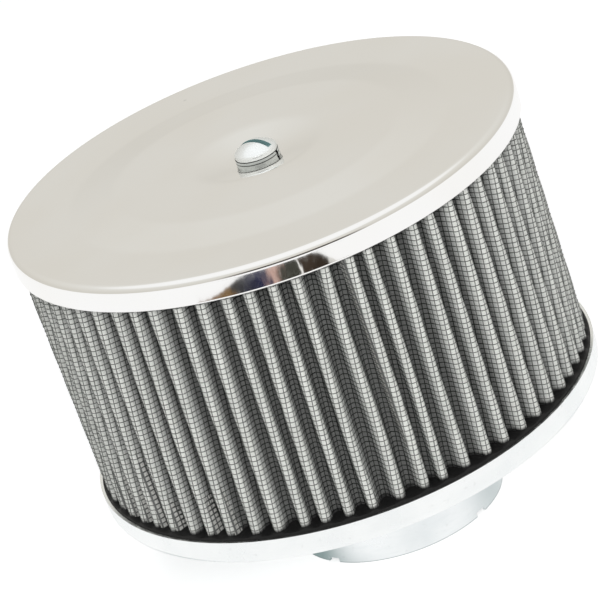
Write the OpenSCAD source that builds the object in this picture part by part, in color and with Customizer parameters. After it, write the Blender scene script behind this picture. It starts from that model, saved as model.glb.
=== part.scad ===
// Round air cleaner for an engine bay: a chromed lid, a pleated wire-gauze
// element and a zinc-plated pan with an offset neck, clamped by one long screw.
// Millimetres, +Z up. The origin is the centre of the neck's lower end.

/* [Shell] */
// Outer diameter of the lid
cover_d = 140; // [130:1:170]
// Outer diameter of the pan
pan_d = 140; // [130:1:170]
// Height from the pan's underside to the lid's outer top face
filter_h = 82.3; // [60:0.1:120]
// Height of the lid's turned-down rim
cover_rim_h = 6.9; // [5:0.1:12]
// Height of the pan's upright rim, from its underside
pan_rim_h = 7; // [5:0.1:12]
// Sheet thickness of the lid
cover_sheet = 0.8; // [0.5:0.05:1.2]
// Sheet thickness of the pan
pan_sheet = 0.8; // [0.5:0.05:1.2]
// Outer bend radius at the lid's edge
cover_bend_r = 1.9; // [1.5:0.1:3]
// Outer bend radius at the pan's lower edge
pan_bend_r = 2.6; // [1.5:0.1:4]

/* [Lid pressing] */
// Diameter of the raised middle of the lid
crown_d = 79; // [50:1:90]
// Diameter at which the pressed slope meets the outer flat
crown_foot_d = 104; // [94:1:118]
// Height of the raised middle above the outer flat
crown_h = 1.5; // [0.4:0.1:3]
// Diameter at which the dish round the screw begins
dish_d = 34; // [26:1:46]
// Diameter of the dish's flat seat
seat_d = 13; // [12:0.5:18]
// Depth of the dish's seat below the raised middle
dish_h = 1.9; // [0.4:0.1:2.8]

/* [Filter element] */
// Number of pleats round the element
pleat_count = 66; // [50:1:72]
// Turn of the first pleat's crest from +X, in degrees
pleat_turn = 1.68; // [0:0.01:5.45]
// Radial depth of the pleats
pleat_depth = 6.2; // [5:0.1:12]
// Outside radius of a pleat's crest
crest_r = 1.5; // [1.4:0.05:1.8]
// Half width of the open fold between two pleats
fold_r = 1.1; // [0.8:0.05:1.3]
// Thickness of each wire gauze skin
gauze_t = 0.25; // [0.15:0.05:0.3]
// Thickness of the filter sheet between the skins
media_t = 0.7; // [0.5:0.05:0.75]

/* [Moulded end rings] */
// Height of the lower end ring
lower_ring_h = 6.9; // [5:0.1:10]
// Height of the upper end ring
upper_ring_h = 6.2; // [5:0.1:10]
// Depth to which the pleats' ends are potted
pot_depth = 3; // [1.5:0.1:4]
// Width of ring outside the pleats' crests
ring_lip = 0.35; // [0.2:0.05:1]
// Width of ring inside the pleats
ring_shoulder = 1.5; // [0.5:0.1:4]
// Radial clearance between an end ring and the shell
ring_clearance = 0.15; // [0.1:0.05:0.5]

/* [Neck] */
// Bore of the neck
neck_bore_d = 57.2; // [50:0.1:60]
// Sheet thickness of the neck
neck_sheet = 0.9; // [0.7:0.05:1.5]
// Length of the neck below the pan
neck_len = 28.5; // [20:0.5:45]
// Offset of the neck's axis from the lid's axis
neck_offset = 5; // [0:0.5:6]
// Width of the neck's flange that lies on the pan's floor
flange_w = 2.6; // [1.5:0.1:5]
// Inner bend radius between the neck and its flange
flange_bend_r = 0.8; // [0.5:0.1:1.5]
// Clearance of the pan's hole round the neck's bend
pan_hole_clearance = 0.1; // [0.05:0.05:0.5]
// Number of notches in the neck's end
notch_count = 4; // [2:1:8]
// Width of a notch
notch_w = 3.7; // [2:0.1:6]
// Depth of a notch
notch_h = 1.25; // [0.5:0.05:4]
// Turn of the first notch from +X, in degrees
notch_turn = 42; // [0:1:90]

/* [Screw bridge] */
// Width of the bridge strap
strap_w = 18; // [15:0.5:24]
// Thickness of the bridge strap
strap_t = 2; // [1.5:0.1:2.5]
// Height of the strap's top above the pan's floor
bridge_rise = 15; // [12:0.5:20]
// Clearance between the bridge's legs and the neck's flange
bridge_clearance = 0.5; // [0.3:0.1:2]
// Inner bend radius of the strap
strap_bend_r = 1.5; // [1:0.1:2]
// Length of each flat foot
foot_l = 10.5; // [9:0.5:11]
// Distance between the two rivets of a foot
rivet_gap = 9; // [8:0.5:10]

/* [Rivets] */
// Diameter of a rivet's shank
rivet_d = 4; // [3:0.1:4.5]
// Diameter of a rivet's head
rivet_head_d = 6.8; // [6:0.1:7.5]
// Height of a rivet's head
rivet_head_h = 1.4; // [1:0.1:2]
// Radial clearance of a rivet in its holes
rivet_clearance = 0.05; // [0.02:0.01:0.1]

/* [Screw, washer and nut] */
// Diameter of the screw's shank
screw_d = 6; // [5:0.5:6]
// Radial clearance of the screw in the lid and the bridge
screw_clearance = 0.3; // [0.2:0.05:0.5]
// Radial clearance of the screw in the nut and the washer
thread_clearance = 0.05; // [0.02:0.01:0.1]
// Length of the screw that stands out below the nut
screw_end = 3; // [1:0.5:5]
// Chamfer at the screw's end
screw_chamfer = 0.8; // [0.5:0.1:1]
// Diameter of the screw's round head
head_d = 11.6; // [10:0.1:12]
// Height of the screw's round head
head_h = 3.5; // [3.4:0.1:4.5]
// Radius of the head's domed top
head_dome_r = 8; // [7:0.1:12]
// Radius of the head's rounded edge
head_edge_r = 1.2; // [0.5:0.1:1.5]
// Width of the slot in the head
slot_w = 1.6; // [1:0.1:2]
// Depth of the slot in the head
slot_h = 1.7; // [1:0.1:2.5]
// Turn of the slot from +X, in degrees
slot_turn = -38; // [-90:1:90]
// Outer diameter of the split spring washer
washer_d = 11.8; // [10:0.1:13]
// Thickness of the split spring washer
washer_t = 1; // [0.8:0.1:2]
// Width of the washer's split
split_w = 0.9; // [0.5:0.1:1.5]
// Slant of the washer's split, in degrees
split_slant = 30; // [0:1:40]
// Turn of the washer's split from +X, in degrees
split_turn = -30; // [-90:1:90]
// Width across the nut's flats
nut_w = 10; // [9:0.1:12]
// Height of the nut
nut_h = 5; // [4:0.1:6]

/* [Hidden] */
$fn = 96;
// Overlap that carries a cut clear through a face
cut = 0.5;
// Overlap of two stretches of the bridge strap
lap = 1;
// Points along the bend of the lid's edge
bend_points = 9;
// Points along the curve of the dish
dish_points = 8;
// How sharply that curve flattens on its way out
dish_power = 2.5;
// Points along the domed top of the screw's head, and along its edge
dome_points = 9;
edge_points = 6;

// Levels up the axis
floor_z = neck_len + pan_sheet;
flange_z = floor_z + neck_sheet;
cover_z = neck_len + filter_h;
cover_under_z = cover_z - cover_sheet;
crown_z = cover_z + crown_h;
seat_z = crown_z - dish_h;
head_z = seat_z + washer_t;
strap_z = floor_z + bridge_rise - strap_t;
nut_z = strap_z - nut_h;
screw_tip_z = nut_z - screw_end;

// The lid, the element and the bridge share one axis, beside the neck's
lid_x = -neck_offset;

// Shell radii
cover_r = cover_d / 2;
pan_r = pan_d / 2;
neck_r = neck_bore_d / 2;
neck_outer_r = neck_r + neck_sheet;
pan_hole_r = neck_outer_r + flange_bend_r + pan_hole_clearance;
flange_r = pan_hole_r + flange_w;

// Inside face of each of the bridge's legs, and the middle of its foot
leg_y = flange_r + bridge_clearance;
rivet_y = leg_y + strap_t + strap_bend_r + foot_l / 2;

// Element radii
ring_r = min(cover_r - cover_sheet, pan_r - pan_sheet) - ring_clearance;
crest_tip_r = ring_r - ring_lip;
fold_tip_r = crest_tip_r - pleat_depth;
ring_inner_r = fold_tip_r - ring_shoulder;
sheet_t = 2 * gauze_t + media_t;

// The pleated sheet's ends, potted in the two rings
pleat_bottom_z = floor_z + lower_ring_h - pot_depth;
pleat_top_z = cover_under_z - upper_ring_h + pot_depth;

// Each surface of the pleated sheet: its depth in from the outside,
// and the points on its crest arc and on its fold arc
outer_face = [0, 6, 4];
media_outer_face = [gauze_t, 5, 4];
media_inner_face = [gauze_t + media_t, 3, 5];
inner_face = [sheet_t, 3, 5];

// A pleat's flank is a line that touches its crest arc and its fold arc
pleat_pitch = 360 / pleat_count;
crest_centre_r = crest_tip_r - crest_r;
fold_centre_r = fold_tip_r + fold_r + sheet_t;
fold_dx = fold_centre_r * cos(pleat_pitch / 2) - crest_centre_r;
fold_dy = fold_centre_r * sin(pleat_pitch / 2);
flank_turn = atan2(fold_dy, fold_dx)
    - acos((crest_r + fold_r) / norm([fold_dx, fold_dy]));

// A point at a radius and angle from another point
function polar(centre, r, a) = centre + r * [cos(a), sin(a)];

// Points of an arc from angle a0 to a1, both ends included
function arc(centre, r, a0, a1, points) =
    [for (i = [0:points - 1]) polar(centre, r, a0 + (a1 - a0) * i / (points - 1))];

// Outline of one surface of the pleated sheet, all the way round
function pleat_outline(face) = [
    for (k = [0:pleat_count - 1])
        let (
            a = pleat_turn + k * pleat_pitch,
            b = a + pleat_pitch / 2,
            crest = polar([0, 0], crest_centre_r, a),
            fold = polar([0, 0], fold_centre_r, b)
        )
        each concat(
            arc(crest, crest_r - face[0], a - flank_turn, a + flank_turn, face[1]),
            arc(fold, fold_r + face[0], a + flank_turn + 180,
                b + pleat_pitch / 2 - flank_turn + 180, face[2])
        )
];

// The solid between two surfaces of the pleated sheet
module pleated_layer(outside, inside) {
    translate([lid_x, 0, pleat_bottom_z])
        linear_extrude(pleat_top_z - pleat_bottom_z)
            difference() {
                polygon(pleat_outline(outside));
                polygon(pleat_outline(inside));
            }
}

// A rectangle with a rounded corner at the origin
module corner_block(w, h, r) {
    translate([r, 0])
        square([w - r, h]);
    translate([0, r])
        square([w, h - r]);
    translate([r, r])
        circle(r);
}

// Section of a sheet bent once: two legs that meet in a bend at the origin
module bent_sheet(w, h, outer_r, sheet) {
    difference() {
        corner_block(w, h, outer_r);
        translate([sheet, sheet])
            corner_block(w, h, outer_r - sheet);
    }
}

// Curve of the dish: steep at its seat, and level where it meets the raised middle
function dish_curve() = [
    for (i = [0:dish_points - 1])
        let (share = i / (dish_points - 1))
        [
            (seat_d + share * (dish_d - seat_d)) / 2,
            crown_z - dish_h * pow(1 - share, dish_power)
        ]
];

// Half of the lid's section, from the screw's hole to the rim
module cover_section() {
    bend_centre = [cover_r - cover_bend_r, cover_z - cover_bend_r];
    rim_z = cover_z - cover_rim_h;
    top = concat(
        [[screw_d / 2 + screw_clearance, seat_z]],
        dish_curve(),
        [[crown_d / 2, crown_z], [crown_foot_d / 2, cover_z]]
    );
    under = [for (i = [len(top) - 1:-1:0]) top[i] - [0, cover_sheet]];
    polygon(concat(
        top,
        arc(bend_centre, cover_bend_r, 90, 0, bend_points),
        [[cover_r, rim_z], [cover_r - cover_sheet, rim_z]],
        arc(bend_centre, cover_bend_r - cover_sheet, 0, 90, bend_points),
        under
    ));
}

module top_cover() {
    color([0.84, 0.83, 0.81])
        translate([lid_x, 0, 0])
            rotate_extrude()
                cover_section();
}

// Half of the screw head's section: domed top, rounded edge and side
module head_section() {
    head_r = head_d / 2;
    dome_centre = [0, head_z + head_h - head_dome_r];
    edge_x = head_r - head_edge_r;
    edge_rise = sqrt(pow(head_dome_r - head_edge_r, 2) - pow(edge_x, 2));
    edge_turn = atan2(edge_rise, edge_x);
    polygon(concat(
        arc(dome_centre, head_dome_r, 90, edge_turn, dome_points),
        arc(dome_centre + [edge_x, edge_rise], head_edge_r, edge_turn, 0, edge_points),
        [[head_r, head_z], [0, head_z]]
    ));
}

// Round slotted head, shank and chamfered end
module cover_screw() {
    shank_r = screw_d / 2;
    color([0.86, 0.9, 0.9])
        translate([lid_x, 0, 0])
            difference() {
                union() {
                    rotate_extrude()
                        head_section();
                    rotate_extrude()
                        polygon([
                            [0, screw_tip_z],
                            [shank_r - screw_chamfer, screw_tip_z],
                            [shank_r, screw_tip_z + screw_chamfer],
                            [shank_r, head_z],
                            [0, head_z]
                        ]);
                }
                translate([0, 0, head_z + head_h - slot_h])
                    rotate(slot_turn)
                        translate([-head_d, -slot_w / 2, 0])
                            cube([2 * head_d, slot_w, slot_h + cut]);
            }
}

module spring_washer() {
    color([0.78, 0.82, 0.83])
        translate([lid_x, 0, seat_z])
            difference() {
                cylinder(h = washer_t, d = washer_d);
                translate([0, 0, -cut])
                    cylinder(h = washer_t + 2 * cut, r = screw_d / 2 + thread_clearance);
                rotate(split_turn)
                    translate([0, 0, washer_t / 2])
                        rotate([split_slant, 0, 0])
                            translate([0, -split_w / 2, -washer_t - cut])
                                cube([washer_d, split_w, 2 * (washer_t + cut)]);
            }
}

// Both rivets of both feet
module at_rivets() {
    for (side = [-1, 1], dx = [-1, 1])
        translate([lid_x + dx * rivet_gap / 2, side * rivet_y, 0])
            children();
}

module rivet_holes(z0, z1) {
    at_rivets()
        translate([0, 0, z0 - cut])
            cylinder(h = z1 - z0 + 2 * cut, r = rivet_d / 2 + rivet_clearance, $fn = 32);
}

// Half of the pan's section, with no hole
module pan_section() {
    translate([pan_r, neck_len])
        mirror([1, 0])
            bent_sheet(pan_r, pan_rim_h, pan_bend_r, pan_sheet);
}

module base_pan() {
    color([0.9, 0.93, 0.94])
        difference() {
            translate([lid_x, 0, 0])
                rotate_extrude()
                    pan_section();
            translate([0, 0, neck_len - cut])
                cylinder(h = pan_sheet + 2 * cut, r = pan_hole_r);
            rivet_holes(neck_len, floor_z);
        }
}

// Half of the neck's section: tube, bend and flange
module neck_section() {
    translate([neck_r, flange_z])
        mirror([0, 1])
            bent_sheet(flange_r - neck_r, flange_z, flange_bend_r + neck_sheet, neck_sheet);
}

module neck_tube() {
    color([0.87, 0.9, 0.91])
        difference() {
            rotate_extrude()
                neck_section();
            for (i = [0:notch_count - 1])
                rotate(notch_turn + i * 360 / notch_count)
                    translate([neck_r - cut, -notch_w / 2, -cut])
                        cube([neck_sheet + 2 * cut, notch_w, notch_h + cut]);
        }
}

// Half of the bridge's side view, from its middle to the end of one foot
module half_strap() {
    bend_r = strap_bend_r + strap_t;
    translate([leg_y, floor_z])
        bent_sheet(bend_r + foot_l, bridge_rise / 2 + lap, bend_r, strap_t);
    translate([leg_y + strap_t, floor_z + bridge_rise])
        rotate(180)
            bent_sheet(leg_y + strap_t + lap, bridge_rise / 2 + lap, bend_r, strap_t);
}

module screw_bridge() {
    color([0.76, 0.78, 0.78])
        difference() {
            translate([lid_x - strap_w / 2, 0, 0])
                rotate([90, 0, 90])
                    linear_extrude(strap_w) {
                        half_strap();
                        mirror([1, 0])
                            half_strap();
                    }
            translate([lid_x, 0, strap_z - cut])
                cylinder(h = strap_t + 2 * cut, r = screw_d / 2 + screw_clearance);
            rivet_holes(floor_z, floor_z + strap_t);
        }
}

module bridge_nut() {
    color([0.7, 0.72, 0.72])
        translate([lid_x, 0, nut_z])
            difference() {
                cylinder(h = nut_h, d = nut_w / cos(30), $fn = 6);
                translate([0, 0, -cut])
                    cylinder(h = nut_h + 2 * cut, r = screw_d / 2 + thread_clearance);
            }
}

// Shank with a domed head at each end
module rivet() {
    ball_r = (pow(rivet_head_d / 2, 2) + pow(rivet_head_h, 2)) / (2 * rivet_head_h);
    grip = pan_sheet + strap_t;
    rotate_extrude($fn = 32) {
        translate([0, neck_len])
            square([rivet_d / 2, grip]);
        intersection() {
            translate([0, neck_len + grip + rivet_head_h - ball_r])
                circle(ball_r);
            translate([0, neck_len + grip])
                square([rivet_head_d, rivet_head_h + cut]);
        }
        intersection() {
            translate([0, neck_len - rivet_head_h + ball_r])
                circle(ball_r);
            translate([0, neck_len - rivet_head_h - cut])
                square([rivet_head_d, rivet_head_h + cut]);
        }
    }
}

module bridge_rivets() {
    color([0.74, 0.76, 0.77])
        at_rivets()
            rivet();
}

// A ring of moulded rubber, chamfered to clear the shell's bend,
// with the shape of the pleats' ends sunk in its top
module end_ring(h, shell_bend_r) {
    base_h = h - pot_depth;
    rotate_extrude()
        polygon([
            [ring_inner_r, 0],
            [ring_r - shell_bend_r, 0],
            [ring_r, shell_bend_r],
            [ring_r, base_h],
            [ring_inner_r, base_h]
        ]);
    translate([0, 0, base_h])
        linear_extrude(pot_depth) {
            difference() {
                circle(ring_r);
                polygon(pleat_outline(outer_face));
            }
            difference() {
                polygon(pleat_outline(inner_face));
                circle(ring_inner_r);
            }
        }
}

module lower_end_ring() {
    color([0.08, 0.08, 0.08])
        translate([lid_x, 0, floor_z])
            end_ring(lower_ring_h, pan_bend_r - pan_sheet);
}

module upper_end_ring() {
    color([0.08, 0.08, 0.08])
        translate([lid_x, 0, cover_under_z])
            mirror([0, 0, 1])
                end_ring(upper_ring_h, cover_bend_r - cover_sheet);
}

module outer_wire_mesh() {
    color([0.55, 0.56, 0.55])
        pleated_layer(outer_face, media_outer_face);
}

module filter_media() {
    color([0.82, 0.82, 0.78])
        pleated_layer(media_outer_face, media_inner_face);
}

module inner_wire_mesh() {
    color([0.55, 0.56, 0.55])
        pleated_layer(media_inner_face, inner_face);
}

top_cover();
cover_screw();
spring_washer();
base_pan();
neck_tube();
screw_bridge();
bridge_nut();
bridge_rivets();
upper_end_ring();
lower_end_ring();
outer_wire_mesh();
filter_media();
inner_wire_mesh();
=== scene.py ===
"""Looks of the round air cleaner: chromed lid, pleated wire-gauze element, zinc-plated pan and neck.

Metres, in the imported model's frame: +Z up the neck, the origin at the neck's lower end.
The camera stands on the -Y side, which is called the front.
"""

import math

import bpy
import numpy as np
from mathutils import Matrix, Vector
from mathutils.kdtree import KDTree


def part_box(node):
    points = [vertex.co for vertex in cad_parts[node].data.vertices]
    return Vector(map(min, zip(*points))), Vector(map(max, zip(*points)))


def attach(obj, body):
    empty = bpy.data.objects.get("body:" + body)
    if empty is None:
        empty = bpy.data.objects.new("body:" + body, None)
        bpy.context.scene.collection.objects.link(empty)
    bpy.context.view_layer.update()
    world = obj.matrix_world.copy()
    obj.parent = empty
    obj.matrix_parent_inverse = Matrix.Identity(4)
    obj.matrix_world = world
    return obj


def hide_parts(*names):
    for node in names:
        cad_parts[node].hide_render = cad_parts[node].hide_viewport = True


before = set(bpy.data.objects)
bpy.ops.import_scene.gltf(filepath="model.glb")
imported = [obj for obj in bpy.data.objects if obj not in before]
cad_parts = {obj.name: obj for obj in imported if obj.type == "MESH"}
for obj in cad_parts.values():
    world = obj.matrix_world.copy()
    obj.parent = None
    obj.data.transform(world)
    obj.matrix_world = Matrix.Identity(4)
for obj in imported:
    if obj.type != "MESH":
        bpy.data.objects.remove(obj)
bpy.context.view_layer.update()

MM = 0.001
SEED = 11


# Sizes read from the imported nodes

lid_low, lid_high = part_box("top_cover")
ring_low, ring_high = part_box("lower_end_ring")
sheet_low, sheet_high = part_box("filter_media")
washer_low, washer_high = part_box("spring_washer")

AXIS_X = (lid_low[0] + lid_high[0]) / 2
LID_R = (lid_high[0] - lid_low[0]) / 2
RIM_Z = lid_low[2]
CROWN_Z = lid_high[2]
RING_R = (ring_high[0] - ring_low[0]) / 2
RING_Z = ring_low[2]
POT_Z = ring_high[2]
UPPER_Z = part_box("upper_end_ring")[0][2]
SCREW_TOP_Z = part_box("cover_screw")[1][2]
NECK_TOP_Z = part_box("neck_tube")[1][2]

# Sizes of the lid's pressing
LID_SHEET = 0.8 * MM
LID_BEND_R = 1.9 * MM
CROWN_R = 39.5 * MM
CROWN_FOOT_R = 52 * MM
CROWN_H = 1.5 * MM
CROWN_EASE = 1.0 * MM
LID_Z = CROWN_Z - CROWN_H
SEAT_R = 7.6 * MM
DISH_R = 18 * MM
DISH_H = CROWN_Z - washer_low[2]
DISH_EASE = 1.6 * MM
SCREW_HOLE_R = 3.3 * MM

# Steps and margins of the lid's section, and steps round it
EASE_STEPS = 15
PRESSED_STEPS = 40
FLAT_STEPS = 6
PRESSED_MARGIN = 1.5 * MM
EDGE_MARGIN = 1 * MM
WALL_STEPS = 4
WALL_MARGIN_LOW = 0.2 * MM
WALL_MARGIN_HIGH = 0.1 * MM
BEND_STEPS = 24
INNER_BEND_STEPS = 8
HEM_STEPS = 9
LID_TURN_STEPS = 360

# Slot of the screw's head
SLOT_TURN = math.radians(-38)
SLOT_W = 1.6 * MM
SLOT_H = 1.7 * MM

# Sizes of the pleated sheet
PLEATS = 66
PLEAT_TURN = math.radians(1.68)
PLEAT_PITCH = 2 * math.pi / PLEATS
CREST_TIP_R = 68.7 * MM
FOLD_TIP_R = 62.5 * MM
CREST_R = 1.5 * MM
FOLD_R = 1.1 * MM
SHEET_T = 1.2 * MM
GAUZE_T = 0.25 * MM
COTTON_FACE = 0.8 * GAUZE_T
COTTON_BACK = SHEET_T - GAUZE_T
CREST_POINTS = 8
FOLD_POINTS = 3
SHEET_LEVELS = 14

# How uneven the pleats are, with angles in degrees
LEAN = 0.6
LEAN_SWING = 1.3
LEAN_SPREAD = 0.2
SHIFT_SPREAD = 0.3
BOW_SPREAD = 0.16
BOW_PHASE_SPREAD = 0.6
CREST_R_SPREAD = 0.08
CREST_SINK = 0.25 * MM

# Sizes of the woven wire
WIRE_R = 0.12 * MM
WIRE_PITCH = 1.42 * MM
UPRIGHT_INSET = 0.17 * MM
UPRIGHT_END = 1 * MM
UPRIGHT_LEVELS = 18
ROUND_INSET = 0.15 * MM
ROUND_END = 0.5 * MM
ROUND_WANDER = 0.02 * MM

# Corners of a wire's section, in wire radii: how far into the sheet, and how far aside
WIRE_CORNERS = [(-1, 0), (0, 1), (1, 0), (0, -1)]

# Sizes of the potting
RING_INNER_R = 61.0 * MM
RING_BEVEL = 1.8 * MM
POT_CLIMB = 0.55 * MM
POT_CLIMB_RIPPLE = 0.3 * MM
POT_CLIMB_REACH = 0.5 * MM
POT_RIPPLE = 0.12 * MM
POT_SINK = 0.15 * MM
POT_EDGE_W = 0.1 * MM
POT_EDGE_DROP = 0.25 * MM
POT_EDGE_SHARE = 0.4
POT_STEPS_PER_PLEAT = 20
POT_RINGS = 30
POT_CROWDING = 1.15
FOOT_STEPS = 12
RIPPLE_COUNTS = (5, 9, 17, 31, 53, 97, 151)
RIPPLE_FADE = 0.35
RIPPLE_SCALE = 3

# Where tones change, as ranges of radius or height from off to on
HAZE_R = (14 * MM, 8 * MM)
# The cotton's crest tone gives way to painted shade down the flanks, which deepens into the folds
CREST_TONE_R = (CREST_TIP_R - 2.2 * MM, CREST_TIP_R - 0.2 * MM)
FOLD_SHADE_R = (CREST_TIP_R - 1.2 * MM, CREST_TIP_R - 4.2 * MM)
# Painted shade on the wire down in the folds
WIRE_FOLD_SHADE_R = (CREST_TIP_R - 1.0 * MM, CREST_TIP_R - 4.0 * MM)
# Where painted shade lies down in the screw's slot
SLOT_WALLS = (SLOT_W / 2 + 0.06 * MM, SLOT_W / 2 + 0.02 * MM)
SLOT_FLOOR_Z = (SCREW_TOP_Z - SLOT_H - 0.2 * MM, SCREW_TOP_Z - SLOT_H)

# Compound that has climbed the gauze: where it starts, how far it reaches and how it fades
SMEAR_START_Z = POT_Z - 0.2 * MM
SMEAR_REACH = 2.0 * MM
SMEAR_FADE = (0.9 * MM, -0.5 * MM)

# Heights below and above which a plate is darkened with painted shade, where it meets its neighbours
CREVICE_SOFT = 0.08 * MM
WASHER_CREVICES = (washer_low[2] + 0.12 * MM, washer_high[2] - 0.2 * MM)
NECK_CREVICES = (0.2 * MM, NECK_TOP_Z + 1 * MM)

# Camera fitted to the photograph, with the lid's centre at its pixel
ELEVATION = math.radians(21.01)
DISTANCE = 0.8442
ROLL = math.radians(19.57)
FRAME_PIXELS = 600
FOCAL_PIXELS = 3221
LID_PIXEL = (256.9, 154.4)
SENSOR = 36
CLIP_END = 20

# Stage
FLOOR_HALF_W = 3.0
CAMERA_GLOW = 0.6
FILL_STRENGTH = 0.13
SHADE_R = (90 * MM, 55 * MM)
SHADE_Y = (-31 * MM, -14 * MM)
SHADE_X = (20 * MM, -20 * MM)
SHADE_ON_RIGHT = 0.4

# Wide patch of room that the rim's wall mirrors: radii, and turns in degrees from the front
PATCH_ROUGH = 4 * MM
PATCH_NEAR_R = (280 * MM, 290 * MM)
PATCH_FAR_R = 310.5 * MM
PATCH_SWELL = 19 * MM
PATCH_SWELL_TURNS = ((-39, -13), (6, 19))
PATCH_SIDES = ((-41, -38), (19, 21))
PATCH_SOFT = 0.3 * MM

# Thin line of room that the rim's bend mirrors, in the same way
LINE_NEAR_R = 338 * MM
LINE_NEAR_SWELL = 8 * MM
LINE_NEAR_SOFT = 3 * MM
LINE_FAR_R = 339 * MM
LINE_FAR_SWELL = 14 * MM
LINE_FAR_SOFT = 1 * MM
LINE_SWELL_TURNS = (-46, -12)
LINE_SIDES = ((-52, -42), (12, 24))

# Turns that the room's colours span
ROOM_START = -36
ROOM_SPAN = 54
ROOM_SMUDGE = 14


# Meshes

def grid_object(name, points, close_rows=False, close_columns=True):
    """Quads over points[grid, row, column], which look along column step x row step."""
    count = points.shape[:3]
    index = np.arange(math.prod(count)).reshape(count)
    if close_rows:
        index = np.concatenate([index, index[:, :1]], axis=1)
    if close_columns:
        index = np.concatenate([index, index[:, :, :1]], axis=2)
    corners = [index[:, :-1, :-1], index[:, :-1, 1:], index[:, 1:, 1:], index[:, 1:, :-1]]
    quads = np.stack(corners, axis=-1).reshape(-1, 4)
    mesh = bpy.data.meshes.new(name)
    mesh.from_pydata(points.reshape(-1, 3).tolist(), [], quads.tolist())
    mesh.shade_smooth()
    piece = bpy.data.objects.new(name, mesh)
    bpy.context.scene.collection.objects.link(piece)
    return piece


def finish_piece(piece, look, node):
    """Gives a piece its material and slot, lets it ride on the body and stand for a CAD node."""
    piece.data.materials.append(look.material)
    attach(piece, "root")
    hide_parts(node)


def turned(profile, steps):
    """Points of a section turned round the lid's axis: one row for each (radius, height)."""
    turns = np.linspace(0, 2 * math.pi, steps, endpoint=False)
    radius, height = np.array(profile).T
    x = AXIS_X + radius[:, None] * np.cos(turns)
    y = radius[:, None] * np.sin(turns)
    z = np.repeat(height[:, None], steps, axis=1)
    return np.stack([x, y, z], axis=-1)[None]


def arc(centre, radius, start, end, points):
    """Points of an arc, with angles in degrees."""
    turns = np.radians(np.linspace(start, end, points))
    return [(centre[0] + radius * math.cos(t), centre[1] + radius * math.sin(t)) for t in turns]


def lid_height(radius):
    """Height of the lid's outer face, with its pressed corners eased."""
    shifts = np.linspace(-1, 1, EASE_STEPS)[:, None]
    crown = np.interp(radius + shifts * CROWN_EASE, [CROWN_R, CROWN_FOOT_R], [CROWN_Z, LID_Z])
    dish = np.interp(radius + shifts * DISH_EASE, [SEAT_R, DISH_R], [DISH_H, 0])
    return (crown - dish).mean(axis=0)


def make_lid(look):
    """The lid as one closed section: underside, inner bend, hemmed edge, wall, bend and top."""
    edge_r = LID_R - LID_BEND_R
    crown_start = CROWN_R - PRESSED_MARGIN
    crown_end = CROWN_FOOT_R + PRESSED_MARGIN
    radii = np.concatenate([
        [SCREW_HOLE_R],
        np.linspace(SEAT_R - DISH_EASE, DISH_R + DISH_EASE, PRESSED_STEPS),
        np.linspace(DISH_R + 2 * DISH_EASE, crown_start - PRESSED_MARGIN, FLAT_STEPS),
        np.linspace(crown_start, crown_end, PRESSED_STEPS),
        np.linspace(crown_end + PRESSED_MARGIN, edge_r - EDGE_MARGIN, FLAT_STEPS),
    ])
    top = list(zip(radii, lid_height(radii)))
    underside = [(r, z - LID_SHEET) for r, z in top]
    bend = (edge_r, LID_Z - LID_BEND_R)
    hem_r = LID_SHEET / 2
    hem = (LID_R - hem_r, RIM_Z + hem_r)
    wall = np.linspace(hem[1] + WALL_MARGIN_LOW, bend[1] - WALL_MARGIN_HIGH, WALL_STEPS)
    profile = underside + arc(bend, LID_BEND_R - LID_SHEET, 90, 0, INNER_BEND_STEPS)
    profile += arc(hem, hem_r, 180, 360, HEM_STEPS) + [(LID_R, z) for z in wall]
    profile += arc(bend, LID_BEND_R, 0, 90, BEND_STEPS) + top[::-1]
    lid = grid_object("lid_shell", turned(profile, LID_TURN_STEPS), close_rows=True)
    finish_piece(lid, look, "top_cover")


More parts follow.
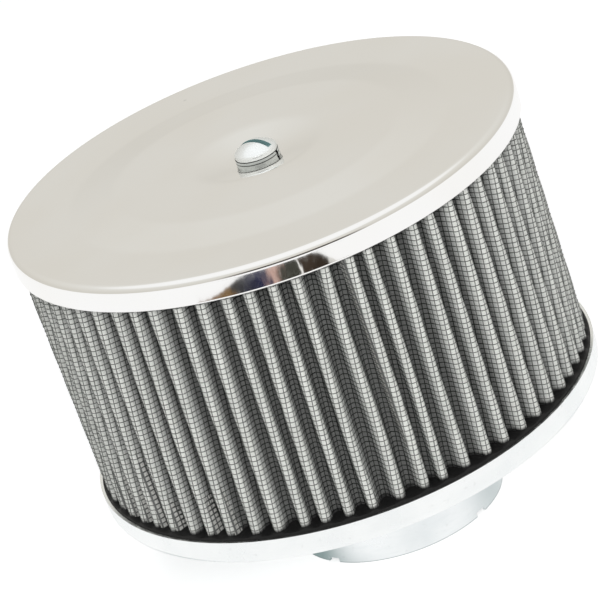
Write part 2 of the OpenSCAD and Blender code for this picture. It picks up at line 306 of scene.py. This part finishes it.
class PleatedSheet:
    """The element's sheet, with pleats as uneven as a pressed sheet has them."""

    def __init__(self):
        random = np.random.default_rng(SEED)
        self.turn = PLEAT_TURN + PLEAT_PITCH * np.arange(PLEATS)
        lean = LEAN - LEAN_SWING * np.cos(self.turn)
        self.lean = np.radians(lean + random.normal(0, LEAN_SPREAD, PLEATS))
        self.shift = np.radians(random.normal(0, SHIFT_SPREAD, PLEATS))
        self.bow = np.radians(random.normal(0, BOW_SPREAD, PLEATS))
        self.bow_phase = random.uniform(-BOW_PHASE_SPREAD, BOW_PHASE_SPREAD, PLEATS)
        self.crest_r = CREST_R * (1 + random.uniform(-CREST_R_SPREAD, CREST_R_SPREAD, PLEATS))
        self.sink = random.uniform(0, CREST_SINK, PLEATS)
        middle = self.loops(UPRIGHT_INSET, np.array([(POT_Z + UPPER_Z) / 2]))[0]
        steps = np.linalg.norm(np.roll(middle, -1, axis=0) - middle, axis=1)
        self.along = np.concatenate([[0], np.cumsum(steps)])
        self.slant = WIRE_PITCH * PLEATS / self.along[-1]

    def loops(self, inset, heights):
        """Outline of the sheet at a depth under its outer face: points[height, point, xy]."""
        share = (heights[:, None] - POT_Z) / (UPPER_Z - POT_Z)
        bow = self.bow * np.sin(2 * math.pi * (share + self.bow_phase))
        crest_turn = self.turn + self.shift + self.lean * (share - 0.5) + bow
        next_turn = np.roll(crest_turn, -1, axis=1)
        next_turn[:, -1] += 2 * math.pi
        fold_turn = (crest_turn + next_turn) / 2
        last_fold = np.roll(fold_turn, 1, axis=1)
        last_fold[:, 0] -= 2 * math.pi
        crest_centre_r = CREST_TIP_R - self.sink - self.crest_r
        fold_centre_r = np.full(PLEATS, FOLD_TIP_R + FOLD_R + SHEET_T)
        crest = spot(crest_centre_r, crest_turn)
        fold = spot(fold_centre_r, fold_turn)
        before = spot(fold_centre_r, last_fold)
        after = spot(np.roll(crest_centre_r, -1), next_turn)
        to_fold = flank_angle(crest, fold, self.crest_r + FOLD_R, -1)
        from_fold = flank_angle(crest, before, self.crest_r + FOLD_R, 1)
        to_next = flank_angle(after, fold, np.roll(self.crest_r, -1) + FOLD_R, 1)
        outer = arc_points(crest, self.crest_r - inset, from_fold, to_fold, CREST_POINTS, 1)
        inner = arc_points(fold, np.full(PLEATS, FOLD_R + inset), to_fold + math.pi,
                           to_next + math.pi, FOLD_POINTS, -1)
        return np.concatenate([outer, inner], axis=2).reshape(len(heights), -1, 2)

    def climb(self, inset, heights, places):
        """Points of lines that climb the sheet at the cloth's slant: points[height, place, xy]."""
        along = (places + self.slant * (heights[:, None] - heights[0])) % self.along[-1]
        index = np.searchsorted(self.along, along, side="right") - 1
        share = (along - self.along[index]) / (self.along[index + 1] - self.along[index])
        loops = self.loops(inset, heights)
        row = np.arange(len(heights))[:, None]
        start = loops[row, index]
        end = loops[row, (index + 1) % loops.shape[1]]
        return start + (end - start) * share[..., None]

    def round(self, inset, heights, shift):
        """Points of lines that follow a pleat and fall by one wire: points[line, point, xyz]."""
        per_pleat = CREST_POINTS + FOLD_POINTS
        first = CREST_POINTS + FOLD_POINTS // 2 + per_pleat * np.arange(PLEATS)
        index = (first[:, None] + np.arange(per_pleat + 1)) % (per_pleat * PLEATS)
        run = (self.along[index] - self.along[index[:, :1]]) % self.along[-1]
        fall = WIRE_PITCH * run / run[:, -1:]
        flat = self.loops(inset, heights)[:, index]
        z = heights[:, None, None] + shift - fall
        return np.concatenate([flat, z[..., None]], axis=-1).reshape(-1, per_pleat + 1, 3)


def spot(radius, turn):
    """Points at a radius and turn from the lid's axis."""
    return np.stack([AXIS_X + radius * np.cos(turn), radius * np.sin(turn)], axis=-1)


def flank_angle(crest, fold, reach, side):
    """Direction from a crest's centre to the point where its flank leaves it."""
    gap = fold - crest
    length = np.linalg.norm(gap, axis=-1)
    return np.arctan2(gap[..., 1], gap[..., 0]) + side * np.arccos(reach / length)


def arc_points(centre, radius, start, end, points, way):
    """Points of many arcs, which turn the given way round: points[height, pleat, point, xy]."""
    sweep = ((end - start) * way) % (2 * math.pi) * way
    turn = start[..., None] + sweep[..., None] * np.linspace(0, 1, points)
    offset = np.stack([np.cos(turn), np.sin(turn)], axis=-1) * radius[..., None, None]
    return centre[..., None, :] + offset


def lifted(flat, heights):
    """Adds its height to each point of flat[height, point, xy]."""
    z = np.broadcast_to(heights[:, None, None], flat.shape[:2] + (1,))
    return np.concatenate([flat, z], axis=-1)


def make_filter_sheet(sheet, look):
    """The cotton between the two wire skins, as one closed sheet."""
    up = np.linspace(sheet_low[2], sheet_high[2], SHEET_LEVELS)
    down = up[::-1]
    outer = lifted(sheet.loops(COTTON_FACE, up), up)
    inner = lifted(sheet.loops(COTTON_BACK, down), down)
    piece = grid_object("cotton_sheet", np.concatenate([outer, inner])[None], close_rows=True)
    finish_piece(piece, look, "filter_media")


def make_upright_wires(sheet, look):
    """The wires that run up the pleats."""
    count = round(sheet.along[-1] / WIRE_PITCH)
    places = np.arange(count) * sheet.along[-1] / count
    heights = np.linspace(POT_Z - UPRIGHT_END, UPPER_Z + UPRIGHT_END, UPRIGHT_LEVELS)
    sides = []
    for deep, aside in WIRE_CORNERS:
        flat = sheet.climb(UPRIGHT_INSET + deep * WIRE_R, heights, places + aside * WIRE_R)
        sides.append(lifted(flat, heights))
    points = np.stack(sides, axis=2).transpose(1, 0, 2, 3)
    piece = grid_object("upright_wires", points)
    finish_piece(piece, look, "outer_wire_mesh")


def make_round_wires(sheet, look):
    """The wires that follow the pleats round the element, in two pieces.

    There is one wire more than fits, since each falls by a pitch along its pleat.
    """
    low, high = POT_Z - ROUND_END, UPPER_Z + ROUND_END
    fitting = int((high - low) / WIRE_PITCH) + 1
    heights = low + WIRE_PITCH * np.arange(fitting + 1)
    random = np.random.default_rng(SEED + 1)
    heights += random.normal(0, ROUND_WANDER, len(heights))
    sides = [sheet.round(ROUND_INSET + deep * WIRE_R, heights, -aside * WIRE_R)
             for deep, aside in WIRE_CORNERS]
    points = np.stack(sides, axis=1)
    half = len(points) // 2
    for name, part in (("round_wires_low", points[:half]), ("round_wires_high", points[half:])):
        piece = grid_object(name, part, close_rows=True, close_columns=False)
        finish_piece(piece, look, "outer_wire_mesh")


def foot_tree(sheet):
    """Search tree of points along the outline of the sheet at the potting."""
    corners = sheet.loops(0, np.array([POT_Z]))[0]
    steps = np.roll(corners, -1, axis=0) - corners
    shares = np.linspace(0, 1, FOOT_STEPS, endpoint=False)
    points = np.concatenate([corners + steps * share for share in shares])
    tree = KDTree(len(points))
    for i, (x, y) in enumerate(points):
        tree.insert((x, y, 0), i)
    tree.balance()
    return tree


def potting_ripple(turns):
    """Long and short waves round the ring, mostly between -1 and 1."""
    random = np.random.default_rng(SEED + 2)
    waves = [(count, random.uniform(0, 2 * math.pi)) for count in RIPPLE_COUNTS]
    total = sum(np.sin(count * turns + phase) / count ** RIPPLE_FADE for count, phase in waves)
    return total / RIPPLE_SCALE


def make_potting(sheet, look):
    """The lower end ring, whose poured top climbs the pleats unevenly."""
    columns = PLEATS * POT_STEPS_PER_PLEAT
    turns = np.linspace(0, 2 * math.pi, columns, endpoint=False)
    shares = np.linspace(0, 1, POT_RINGS) ** POT_CROWDING
    radii = RING_R - (RING_R - RING_INNER_R) * shares
    ripple = potting_ripple(turns)
    tree = foot_tree(sheet)
    top = []
    for radius in radii:
        flat = spot(radius, turns)
        gap = np.array([tree.find((x, y, 0))[2] for x, y in flat])
        climb = (POT_CLIMB + POT_CLIMB_RIPPLE * ripple) * np.exp(-gap / POT_CLIMB_REACH)
        lift = POT_RIPPLE * ripple - POT_SINK + climb
        if radius > RING_R - POT_EDGE_W:
            lift = POT_EDGE_SHARE * lift - POT_EDGE_DROP
        top.append(np.concatenate([flat, (POT_Z + lift)[:, None]], axis=1))
    foot = [(RING_INNER_R, RING_Z), (RING_R - RING_BEVEL, RING_Z), (RING_R, RING_Z + RING_BEVEL)]
    points = np.concatenate([turned(foot, columns)[0], np.array(top)])[None]
    piece = grid_object("potted_ring", points, close_rows=True)
    finish_piece(piece, look, "lower_end_ring")


# Materials

def grey(level):
    return (level, level, level, 1)


# Tones of the lid
CHROME_COOL = (0.94, 0.938, 0.93, 1)
CHROME_WARM = (0.925, 0.915, 0.895, 1)
CHROME_PIT = grey(0.45)

# Tones of the zinc-plated pieces
FLECK = grey(0.4)
# Painted shade down in the screw's slot
SLOT_PAINTED_SHADE = (0.20, 0.33, 0.33, 1)
# Painted shade in the crevices at both ends of the washer and the neck
WASHER_PAINTED_SHADE = grey(0.06)
NECK_PAINTED_SHADE = (0.45, 0.5, 0.5, 1)

# Tones of the element
COMPOUND = (0.012, 0.012, 0.012, 1)
COMPOUND_DUST = grey(0.09)
COTTON_PALE = (0.79, 0.80, 0.76, 1)
COTTON_DULL = (0.70, 0.71, 0.675, 1)
# Painted shade down the flanks and into the folds
COTTON_FLANK_SHADE = (0.52, 0.53, 0.51, 1)
COTTON_FOLD_SHADE = (0.12, 0.123, 0.118, 1)
COTTON_FLUFF = grey(0.35)
COTTON_SOAKED = grey(0.02)
COTTON_BACK_PALE = (0.6, 0.6, 0.57, 1)
COTTON_BACK_DULL = (0.42, 0.42, 0.40, 1)
WIRE_PALE = (0.25, 0.26, 0.245, 1)
WIRE_SPOT = (0.15, 0.16, 0.15, 1)
# Painted shade on the wire down in the folds
WIRE_FOLD_SHADE = (0.02, 0.022, 0.02, 1)
WIRE_SOAKED = grey(0.015)
WIRE_BACK = (0.17, 0.175, 0.17, 1)

# Tones of the stage
WHITE = grey(1)
BLACK = grey(0)
FLOOR_TONES = (grey(0.8), grey(0.84))
MIRRORED_SHADE = (0.27, 0.345, 0.34, 1)
FILL = grey(0.9)
DARK_ROOM = (0.07, 0.06, 0.05, 1)
ROOM_STREAK = (0.7, 0.69, 0.66, 1)

# Studio that metal mirrors, from the horizon up to straight above
STUDIO_TONES = [
    (0.0, (0.70, 0.68, 0.63, 1)),
    (0.16, (0.675, 0.655, 0.605, 1)),
    (0.36, (0.715, 0.695, 0.645, 1)),
    (0.60, (0.755, 0.74, 0.695, 1)),
    (0.70, (0.79, 0.78, 0.74, 1)),
    (0.80, (0.95, 0.95, 0.94, 1)),
    (1.0, (1.0, 1.0, 1.0, 1)),
]

# Room that the lid's rim mirrors, from left to right
ROOM_TONES = [
    (0.00, (0.22, 0.13, 0.07, 1)),
    (0.16, (0.20, 0.12, 0.05, 1)),
    (0.24, (0.04, 0.04, 0.04, 1)),
    (0.42, (0.02, 0.022, 0.06, 1)),
    (0.49, (0.60, 0.40, 0.34, 1)),
    (0.57, (0.05, 0.05, 0.04, 1)),
    (0.675, (0.04, 0.04, 0.03, 1)),
    (0.69, (0.90, 0.89, 0.86, 1)),
    (0.705, (0.90, 0.89, 0.86, 1)),
    (0.72, (0.05, 0.035, 0.025, 1)),
    (0.87, (0.03, 0.022, 0.016, 1)),
    (0.93, (0.75, 0.74, 0.70, 1)),
    (1.00, (0.30, 0.28, 0.25, 1)),
]

# Sockets of the Mix node for colours
MIX_SHARE, MIX_A, MIX_B = 0, 6, 7
MIX_RESULT = 2


class Graph:
    """A node tree with short calls that add and join its nodes."""

    def __init__(self, tree):
        self.tree = tree

    def add(self, kind, inputs=None, **settings):
        node = self.tree.nodes.new("ShaderNode" + kind)
        for key, value in settings.items():
            setattr(node, key, value)
        for key, value in (inputs or {}).items():
            self.put(node.inputs[key], value)
        return node

    def put(self, socket, value):
        """Joins a socket to another node's output, or sets its constant."""
        if isinstance(value, bpy.types.NodeSocket):
            self.tree.links.new(value, socket)
        else:
            socket.default_value = value

    def math(self, operation, *values):
        return self.add("Math", dict(enumerate(values)), operation=operation).outputs[0]

    def plus(self, base, factor, value):
        """base + factor * value."""
        return self.math("MULTIPLY_ADD", value, factor, base)

    def product(self, first, *others):
        for other in others:
            first = self.math("MULTIPLY", first, other)
        return first

    def smooth(self, value, off, on):
        """0 at off, 1 at on, and smooth between."""
        inputs = {"Value": value, "From Min": off, "From Max": on}
        return self.add("MapRange", inputs, interpolation_type="SMOOTHSTEP").outputs[0]

    def between(self, value, start, end):
        """1 between two soft edges, each given as a range from low to high."""
        return self.product(self.smooth(value, *start), self.smooth(value, *end[::-1]))

    def mix(self, share, a, b):
        inputs = {MIX_SHARE: share, MIX_A: a, MIX_B: b}
        return self.add("Mix", inputs, data_type="RGBA").outputs[MIX_RESULT]

    def ramp(self, share, stops):
        """Colours at their places along a ramp."""
        node = self.add("ValToRGB", {"Fac": share})
        elements = node.color_ramp.elements
        for position, tone in stops[1:-1]:
            elements.new(position)
        for element, (position, tone) in zip(elements, stops):
            element.position = position
            element.color = tone
        return node.outputs["Color"]

    def axes(self, vector):
        return self.add("SeparateXYZ", {"Vector": vector}).outputs


class Look(Graph):
    """The node tree of a new material, with calls that use the place on the object."""

    def __init__(self, name):
        self.material = bpy.data.materials.new(name)
        self.material.use_nodes = True
        super().__init__(self.material.node_tree)
        self.shader = self.tree.nodes["Principled BSDF"]
        self.place = self.add("TexCoord").outputs["Object"]

    def shade(self, values):
        """Sets or joins inputs of the shader."""
        for name, value in values.items():
            self.put(self.shader.inputs[name], value)

    def tone(self):
        """The colour that the shader has by now."""
        return self.shader.inputs["Base Color"].links[0].from_socket

    def height(self):
        return self.axes(self.place)["Z"]

    def reach(self):
        """Distance from the lid's axis."""
        axes = self.axes(self.place)
        x = self.math("SUBTRACT", axes["X"], AXIS_X)
        squares = self.math("ADD", self.math("POWER", x, 2), self.math("POWER", axes["Y"], 2))
        return self.math("SQRT", squares)

    def noise(self, scale, detail=3.0, roughness=0.5, place=None):
        inputs = {"Vector": place or self.place, "Scale": scale, "Detail": detail}
        return self.add("TexNoise", {**inputs, "Roughness": roughness}).outputs[0]

    def streaks(self, scales, detail=3.0, roughness=0.5):
        """Noise with a scale of its own along each axis."""
        place = self.add("Mapping", {"Vector": self.place, "Scale": scales}).outputs[0]
        return self.noise(1, detail, roughness, place)

    def bump(self, height, distance):
        return self.add("Bump", {"Height": height, "Distance": distance}).outputs[0]


def chrome():
    """Bright chrome with a faint waviness, a few smudges and pits, and haze round the screw."""
    look = Look("bright_chrome")
    cloud = look.smooth(look.noise(scale=22, detail=2), off=0.35, on=0.65)
    smudge = look.smooth(look.noise(scale=60, detail=6, roughness=0.62), off=0.52, on=0.8)
    spots = look.add("TexVoronoi", {"Vector": look.place, "Scale": 45}).outputs["Distance"]
    pit = look.smooth(spots, off=0.05, on=0.03)
    tone = look.mix(cloud, CHROME_COOL, CHROME_WARM)
    haze = look.smooth(look.reach(), *HAZE_R)
    look.shade({
        "Base Color": look.mix(look.product(pit, 0.5), tone, CHROME_PIT),
        "Metallic": 1,
        "Roughness": look.plus(look.plus(0.03, 0.1, haze), 0.04, smudge),
        "Normal": look.bump(look.noise(scale=16, detail=1), distance=0.12 * MM),
    })
    return look


def zinc(name, pale, dark, roughness, streak):
    """Zinc plate: cloudy, with fine streaks round the part and a few dull flecks."""
    look = Look(name)
    cloud = look.noise(scale=60, detail=4)
    grain = look.streaks((180, 180, 900))
    fleck = look.smooth(look.noise(scale=700, roughness=0.6), off=0.62, on=0.74)
    tone = look.mix(look.smooth(cloud, off=0.3, on=0.75), pale, dark)
    tone = look.mix(look.product(look.smooth(grain, off=0.45, on=0.8), streak), tone, dark)
    look.shade({
        "Base Color": look.mix(look.product(fleck, 0.12), tone, FLECK),
        "Metallic": 1,
        "Roughness": look.plus(roughness - 0.08, 0.16, cloud),
        "Normal": look.bump(grain, distance=0.02 * MM),
    })
    return look


def rubber(name):
    """Moulded black compound with a soft shine, a skin of fine bumps and a little dust."""
    look = Look(name)
    cloud = look.noise(scale=180, detail=4)
    dust = look.smooth(look.noise(scale=900), off=0.6, on=0.8)
    look.shade({
        "Base Color": look.mix(look.product(dust, 0.3), COMPOUND, COMPOUND_DUST),
        "Specular IOR Level": 0.25,
        "Roughness": look.plus(0.4, 0.35, cloud),
        "Normal": look.bump(cloud, distance=0.4 * MM),
    })
    return look


def smear(look):
    """1 where the potting compound has climbed the gauze, 0 above it."""
    ragged = look.streaks((700, 700, 350), detail=4, roughness=0.6)
    edge = look.plus(SMEAR_START_Z, SMEAR_REACH, ragged)
    above = look.math("SUBTRACT", look.height(), edge)
    return look.smooth(above, *SMEAR_FADE)


def cotton():
    """Felted cotton, greyer down the flanks and darker in the folds with painted shade, soaked black
    at its foot.
    """
    look = Look("felted_cotton")
    fluff = look.noise(scale=2600, detail=4, roughness=0.65)
    cloud = look.smooth(look.noise(scale=140), off=0.3, on=0.7)
    radius = look.reach()
    # Painted shade: greyer down the flanks and darker into the folds
    crest = look.smooth(radius, *CREST_TONE_R)
    fold = look.smooth(radius, *FOLD_SHADE_R)
    tone = look.mix(fold, COTTON_FLANK_SHADE, COTTON_FOLD_SHADE)
    tone = look.mix(crest, tone, look.mix(cloud, COTTON_PALE, COTTON_DULL))
    tufts = look.product(look.smooth(fluff, off=0.5, on=0.75), 0.25)
    tone = look.mix(tufts, tone, COTTON_FLUFF)
    look.shade({
        "Base Color": look.mix(smear(look), tone, COTTON_SOAKED),
        "Roughness": 0.85,
        "Sheen Weight": 0.15,
        "Normal": look.bump(fluff, distance=0.25 * MM),
    })
    return look


def wire():
    """Dull drawn wire with darker spots, painted shade down in the folds, black where the compound
    covers it.
    """
    look = Look("drawn_wire")
    spots = look.noise(scale=1500)
    # Painted shade darkens the wire down in the folds
    fold = look.smooth(look.reach(), *WIRE_FOLD_SHADE_R)
    tone = look.mix(look.smooth(spots, off=0.35, on=0.7), WIRE_PALE, WIRE_SPOT)
    tone = look.mix(fold, tone, WIRE_FOLD_SHADE)
    look.shade({
        "Base Color": look.mix(smear(look), tone, WIRE_SOAKED),
        "Metallic": 0.6,
        "Roughness": look.plus(0.35, 0.3, spots),
    })
    return look


def paint_slot_shade(look):
    """Paints green-blue shade on the screw's plate down in its slot."""
    axes = look.axes(look.place)
    x = look.product(look.math("SUBTRACT", axes["X"], AXIS_X), -math.sin(SLOT_TURN))
    across = look.math("ABSOLUTE", look.plus(x, math.cos(SLOT_TURN), axes["Y"]))
    above = look.smooth(axes["Z"], *SLOT_FLOOR_Z)
    inside = look.product(look.smooth(across, *SLOT_WALLS), above)
    look.shade({
        "Base Color": look.mix(inside, look.tone(), SLOT_PAINTED_SHADE),
        "Metallic": look.plus(0.55, -0.45, inside),
    })


def paint_crevice_shade(look, heights, shade_tone):
    """Darkens a plate with painted shade below one height and above another, at its end or its
    neighbours.
    """
    low, high = heights
    foot = look.smooth(look.height(), off=low + CREVICE_SOFT, on=low - CREVICE_SOFT)
    head = look.smooth(look.height(), off=high - CREVICE_SOFT, on=high + CREVICE_SOFT)
    dark = look.math("MAXIMUM", foot, head)
    look.shade({"Base Color": look.mix(dark, look.tone(), shade_tone)})


def inner_gauze():
    """Wire cloth seen from the inside, as lines over the cotton behind it."""
    look = Look("inner_gauze")
    lines = []
    for run in (look.height(), look.reach()):
        phase = look.math("FRACT", look.math("DIVIDE", run, WIRE_PITCH))
        off_line = look.math("ABSOLUTE", look.math("SUBTRACT", phase, 0.5))
        lines.append(look.smooth(off_line, off=0.16, on=0.09))
    net = look.math("MAXIMUM", *lines)
    fluff = look.smooth(look.noise(scale=2600, detail=4, roughness=0.65), off=0.35, on=0.7)
    felt = look.mix(fluff, COTTON_BACK_PALE, COTTON_BACK_DULL)
    look.shade({
        "Base Color": look.mix(net, felt, WIRE_BACK),
        "Metallic": look.product(net, 0.6),
        "Roughness": 0.6,
        "Normal": look.bump(net, distance=0.2 * MM),
    })
    return look


def dress_nodes(compound):
    """Gives the CAD nodes that stay as they are their materials."""
    pan = zinc("pan_plate", pale=(0.98, 0.995, 0.99, 1), dark=(0.92, 0.945, 0.945, 1),
               roughness=0.26, streak=0.3)
    neck = zinc("neck_plate", pale=(0.95, 0.975, 0.98, 1), dark=(0.84, 0.88, 0.89, 1),
                roughness=0.3, streak=0.5)
    screw = zinc("screw_plate", pale=(0.96, 0.98, 0.975, 1), dark=(0.85, 0.90, 0.90, 1),
                 roughness=0.17, streak=0.1)
    washer = zinc("washer_plate", pale=(0.80, 0.84, 0.85, 1), dark=(0.62, 0.68, 0.69, 1),
                  roughness=0.4, streak=0.3)
    bridge = zinc("bridge_plate", pale=(0.76, 0.78, 0.78, 1), dark=(0.6, 0.62, 0.62, 1),
                  roughness=0.36, streak=0.5)
    # Painted shade down in the screw's slot
    paint_slot_shade(screw)
    # Painted shade in the crevices at both ends of the washer and the neck
    paint_crevice_shade(washer, WASHER_CREVICES, WASHER_PAINTED_SHADE)
    paint_crevice_shade(neck, NECK_CREVICES, NECK_PAINTED_SHADE)
    looks = {
        "base_pan": pan,
        "neck_tube": neck,
        "cover_screw": screw,
        "spring_washer": washer,
        "screw_bridge": bridge,
        "bridge_nut": bridge,
        "bridge_rivets": bridge,
        "upper_end_ring": compound,
        "inner_wire_mesh": inner_gauze(),
    }
    for node, look in looks.items():
        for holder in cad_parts[node].material_slots:
            holder.material = look.material


# Stage, light and camera

def make_camera():
    """A long lens from the front and above, rolled, with the lid's centre at its pixel."""
    target = Vector((AXIS_X, 0, LID_Z))
    back = Vector((0, -math.cos(ELEVATION), math.sin(ELEVATION)))
    forward = -back
    right = Vector((1, 0, 0))
    level = Matrix((right, right.cross(forward), back)).transposed()
    turn = Matrix.Rotation(ROLL, 3, forward) @ level
    middle = FRAME_PIXELS / 2
    aside = (LID_PIXEL[0] - middle) / FOCAL_PIXELS
    above = (middle - LID_PIXEL[1]) / FOCAL_PIXELS
    aim = (turn @ Vector((aside, above, -1))).rotation_difference(forward).to_matrix()
    data = bpy.data.cameras.new("camera")
    data.sensor_width = SENSOR
    data.lens = SENSOR * FOCAL_PIXELS / FRAME_PIXELS
    data.clip_end = CLIP_END
    camera = bpy.data.objects.new("camera", data)
    camera.matrix_world = Matrix.Translation(target + back * DISTANCE) @ (aim @ turn).to_4x4()
    bpy.context.scene.collection.objects.link(camera)
    bpy.context.scene.camera = camera


def make_lamp(name, place, size, watts):
    """A square lamp that faces the part and that metal doesn't mirror."""
    data = bpy.data.lights.new(name, "AREA")
    data.size = size
    data.energy = watts
    lamp = bpy.data.objects.new(name, data)
    target = Vector((AXIS_X, 0, (RIM_Z + RING_Z) / 2))
    lamp.location = place
    lamp.rotation_euler = (target - lamp.location).to_track_quat("-Z", "Y").to_euler()
    lamp.visible_glossy = False
    bpy.context.scene.collection.objects.link(lamp)


def make_world():
    """White to the camera, an even light on the object, and a studio for metal to mirror."""
    world = bpy.data.worlds.new("studio")
    world.use_nodes = True
    graph = Graph(world.node_tree)
    backdrop = world.node_tree.nodes["Background"]
    path = graph.add("LightPath").outputs
    way = graph.axes(graph.add("TexCoord").outputs["Generated"])
    front = graph.smooth(way["Y"], off=-0.80, on=-0.95)
    low = graph.smooth(way["Z"], off=0.34, on=0.24)
    studio = graph.mix(graph.product(front, low), graph.ramp(way["Z"], STUDIO_TONES), DARK_ROOM)
    tone = graph.mix(path["Is Camera Ray"], studio, WHITE)
    seen = graph.math("MAXIMUM", path["Is Camera Ray"], path["Is Glossy Ray"])
    seen = graph.math("MAXIMUM", seen, path["Is Transmission Ray"])
    graph.put(backdrop.inputs["Color"], graph.mix(seen, FILL, tone))
    graph.put(backdrop.inputs["Strength"], graph.plus(FILL_STRENGTH, 1 - FILL_STRENGTH, seen))
    bpy.context.scene.world = world


def wide_patch(look, turn, radius):
    """Share of the room on the floor that the rim's wall mirrors."""
    swell = look.between(turn, *PATCH_SWELL_TURNS)
    edge = look.plus(PATCH_FAR_R, PATCH_SWELL, swell)
    within = look.smooth(look.math("SUBTRACT", radius, edge), off=PATCH_SOFT, on=-PATCH_SOFT)
    beyond = look.smooth(radius, *PATCH_NEAR_R)
    return look.product(within, beyond, look.between(turn, *PATCH_SIDES))


def thin_line(look, turn, radius):
    """Share of the room on the floor that the rim's bend mirrors."""
    swell = look.smooth(turn, *LINE_SWELL_TURNS)
    far = look.math("SUBTRACT", radius, look.plus(LINE_FAR_R, LINE_FAR_SWELL, swell))
    near = look.math("SUBTRACT", radius, look.plus(LINE_NEAR_R, LINE_NEAR_SWELL, swell))
    within = look.smooth(far, off=LINE_FAR_SOFT, on=-LINE_FAR_SOFT)
    beyond = look.smooth(near, off=0, on=LINE_NEAR_SOFT)
    return look.product(within, beyond, look.between(turn, *LINE_SIDES))


def room_tone(look, turn):
    """Colours of the room, smudged along the turn and with a few pale streaks."""
    smudge = look.streaks((60, 60, 1), roughness=0.6)
    shifted = look.plus(turn, ROOM_SMUDGE, look.math("SUBTRACT", smudge, 0.5))
    share = look.plus(-ROOM_START / ROOM_SPAN, 1 / ROOM_SPAN, shifted)
    streak = look.smooth(look.streaks((160, 160, 1), roughness=0.6), off=0.60, on=0.66)
    return look.mix(look.product(streak, 0.25), look.ramp(share, ROOM_TONES), ROOM_STREAK)


def add_room(look, tone):
    """Puts the room that the lid's rim mirrors over the floor's tone."""
    axes = look.axes(look.place)
    x = look.math("SUBTRACT", axes["X"], AXIS_X)
    turn = look.math("DEGREES", look.math("ARCTAN2", x, look.product(axes["Y"], -1)))
    radius = look.plus(look.reach(), PATCH_ROUGH, look.noise(scale=90))
    share = look.math("MAXIMUM", wide_patch(look, turn, radius), thin_line(look, turn, radius))
    return look.mix(share, tone, room_tone(look, turn))


def shade_under(look):
    """Where the floor behind the neck lies in the pan's shade, more so on its left."""
    axes = look.axes(look.place)
    near = look.smooth(look.reach(), *SHADE_R)
    behind = look.smooth(axes["Y"], *SHADE_Y)
    left = look.smooth(axes["X"], *SHADE_X)
    return look.product(near, behind, look.plus(SHADE_ON_RIGHT, 1 - SHADE_ON_RIGHT, left))


def make_floor():
    """A pale floor that looks white where it is lit and keeps the shadow."""
    w = FLOOR_HALF_W
    corners = np.array([[[w, -w, 0], [w, w, 0]], [[-w, -w, 0], [-w, w, 0]]])
    floor = grid_object("floor", corners[None], close_columns=False)
    look = Look("pale_floor")
    path = look.add("LightPath").outputs
    pale = look.mix(look.noise(scale=6, detail=2), *FLOOR_TONES)
    mirrored = add_room(look, look.mix(shade_under(look), WHITE, MIRRORED_SHADE))
    look.shade({
        "Base Color": look.mix(path["Is Glossy Ray"], pale, BLACK),
        "Roughness": 1,
        "Specular IOR Level": 0,
        "Emission Color": look.mix(path["Is Glossy Ray"], WHITE, mirrored),
        "Emission Strength": look.plus(path["Is Glossy Ray"], CAMERA_GLOW, path["Is Camera Ray"]),
    })
    floor.data.materials.append(look.material)


bpy.context.scene.view_settings.view_transform = "Standard"
make_camera()
make_world()
make_floor()
make_lamp("key_lamp", place=(0.0, -1.3, 0.8), size=0.9, watts=17.5)
make_lamp("side_lamp", place=(1.2, -0.5, 0.7), size=0.9, watts=2)
make_lamp("top_lamp", place=(0, 0.5, 1.5), size=1.0, watts=6)

pleated = PleatedSheet()
compound = rubber("moulded_compound")
drawn_wire = wire()
dress_nodes(compound)
make_lid(chrome())
make_filter_sheet(pleated, cotton())
make_upright_wires(pleated, drawn_wire)
make_round_wires(pleated, drawn_wire)
make_potting(pleated, compound)
